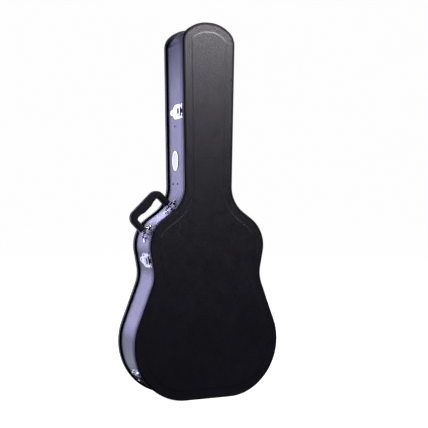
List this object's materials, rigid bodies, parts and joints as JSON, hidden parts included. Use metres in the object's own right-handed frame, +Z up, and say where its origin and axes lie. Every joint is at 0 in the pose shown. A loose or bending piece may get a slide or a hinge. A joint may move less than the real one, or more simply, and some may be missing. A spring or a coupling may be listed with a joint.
{
  "type": "guitar case",
  "caption": "Hard-shell acoustic guitar case with vinyl-covered shells, chrome latches, side handle, hinged lid and a lined interior with neck cradle.",
  "frame": {"origin": "on the floor under the middle of the case's width and depth, the case standing on its flattened bottom end", "axes": "+Z up towards the headstock end, -Y towards the lid, +X towards the hinges, with the latches and handle on the -X side"},
  "size_m": [0.4527, 0.15, 1.09],
  "materials": {
    "plywood": "raw",
    "vinyl": "pebbled",
    "edge_bead": "satin",
    "plush": "plush",
    "plush_board": "plush covered",
    "ribbon": "woven",
    "handle_plastic": "moulded",
    "badge": "gloss",
    "black_metal": "gloss",
    "steel": "bright",
    "chrome": "polished"
  },
  "bodies": {
    "base": {"base_rim": "plywood", "base_rim_cover": "vinyl", "back_panel": "plywood", "back_panel_cover": "vinyl", "back_edge_bead": "edge_bead", "base_locating_lip": "plywood", "base_wall_lining": "plush", "back_panel_lining": "plush", "latch_plate_neck": "chrome", "latch_plate_waist": "chrome", "latch_plate_bout": "chrome", "latch_pins": "steel", "latch_rivets": "chrome", "hinge_base_leaf_lower": "chrome", "hinge_base_leaf_upper": "chrome", "hinge_pins": "steel", "hinge_base_rivets": "chrome", "handle_bracket_upper": "chrome", "handle_bracket_lower": "chrome", "handle_bracket_rivets": "chrome", "compartment_lower_wall": "plush_board", "compartment_upper_wall": "plush_board", "compartment_shelf": "plush_board", "compartment_pin": "steel", "neck_cradle": "plush", "side_badge": "badge", "wall_rivets": "black_metal"},
    "lid": {"lid_rim": "plywood", "lid_rim_cover": "vinyl", "lid_panel": "plywood", "lid_panel_cover": "vinyl", "front_edge_bead": "edge_bead", "lid_wall_lining": "plush", "lid_panel_lining": "plush", "keeper_neck": "chrome", "keeper_waist": "chrome", "keeper_bout": "chrome", "keeper_rivets": "chrome", "hinge_lid_leaf_lower": "chrome", "hinge_lid_leaf_upper": "chrome", "hinge_lid_rivets": "chrome"},
    "handle": {"handle_grip": "handle_plastic", "handle_loop_upper": "chrome", "handle_loop_lower": "chrome"},
    "compartment_lid": {"compartment_lid": "plush_board", "compartment_pull_tab": "ribbon"},
    "lever_neck": {"latch_lever_neck": "chrome"},
    "bail_neck": {"latch_bail_neck": "chrome"},
    "lever_waist": {"latch_lever_waist": "chrome"},
    "bail_waist": {"latch_bail_waist": "chrome"},
    "lever_bout": {"latch_lever_bout": "chrome"},
    "bail_bout": {"latch_bail_bout": "chrome"}
  },
  "joints": [
    {"name": "lid_hinge", "type": "hinge", "parent": "base", "child": "lid", "pos_m": [0.22082, -0.041, 0.19811], "axis": [-0.1656, 0, 0.9862], "range_deg": [0, 105]},
    {"name": "handle_swing", "type": "hinge", "parent": "base", "child": "handle", "pos_m": [-0.13627, -0.009, 0.5207], "axis": [0.7098, 0, 0.7044], "range_deg": [-60, 60]},
    {"name": "compartment_lid_hinge", "type": "hinge", "parent": "base", "child": "compartment_lid", "pos_m": [0, 0.0155, 0.706], "axis": [-1, 0, 0], "range_deg": [0, 85]},
    {"name": "latch_lever_neck_pivot", "type": "hinge", "parent": "base", "child": "lever_neck", "pos_m": [-0.07893, -0.027, 0.834], "axis": [-0.0187, 0, 0.9998], "range_deg": [0, 120]},
    {"name": "latch_bail_neck_pivot", "type": "hinge", "parent": "lever_neck", "child": "bail_neck", "pos_m": [-0.07893, -0.016, 0.834], "axis": [-0.0187, 0, 0.9998], "range_deg": [-120, 0]},
    {"name": "latch_lever_waist_pivot", "type": "hinge", "parent": "base", "child": "lever_waist", "pos_m": [-0.17397, -0.027, 0.402], "axis": [-0.1875, 0, 0.9823], "range_deg": [0, 120]},
    {"name": "latch_bail_waist_pivot", "type": "hinge", "parent": "lever_waist", "child": "bail_waist", "pos_m": [-0.17397, -0.016, 0.402], "axis": [-0.1875, 0, 0.9823], "range_deg": [-120, 0]},
    {"name": "latch_lever_bout_pivot", "type": "hinge", "parent": "base", "child": "lever_bout", "pos_m": [-0.1971, -0.027, 0.069], "axis": [-0.5665, 0, 0.824], "range_deg": [0, 120]},
    {"name": "latch_bail_bout_pivot", "type": "hinge", "parent": "lever_bout", "child": "bail_bout", "pos_m": [-0.1971, -0.016, 0.069], "axis": [-0.5665, 0, 0.824], "range_deg": [-120, 0]}
  ],
  "couplings": [
    {"joint": "latch_bail_neck_pivot", "follows": "latch_lever_neck_pivot", "ratio": -1},
    {"joint": "latch_bail_waist_pivot", "follows": "latch_lever_waist_pivot", "ratio": -1},
    {"joint": "latch_bail_bout_pivot", "follows": "latch_lever_bout_pivot", "ratio": -1}
  ]
}
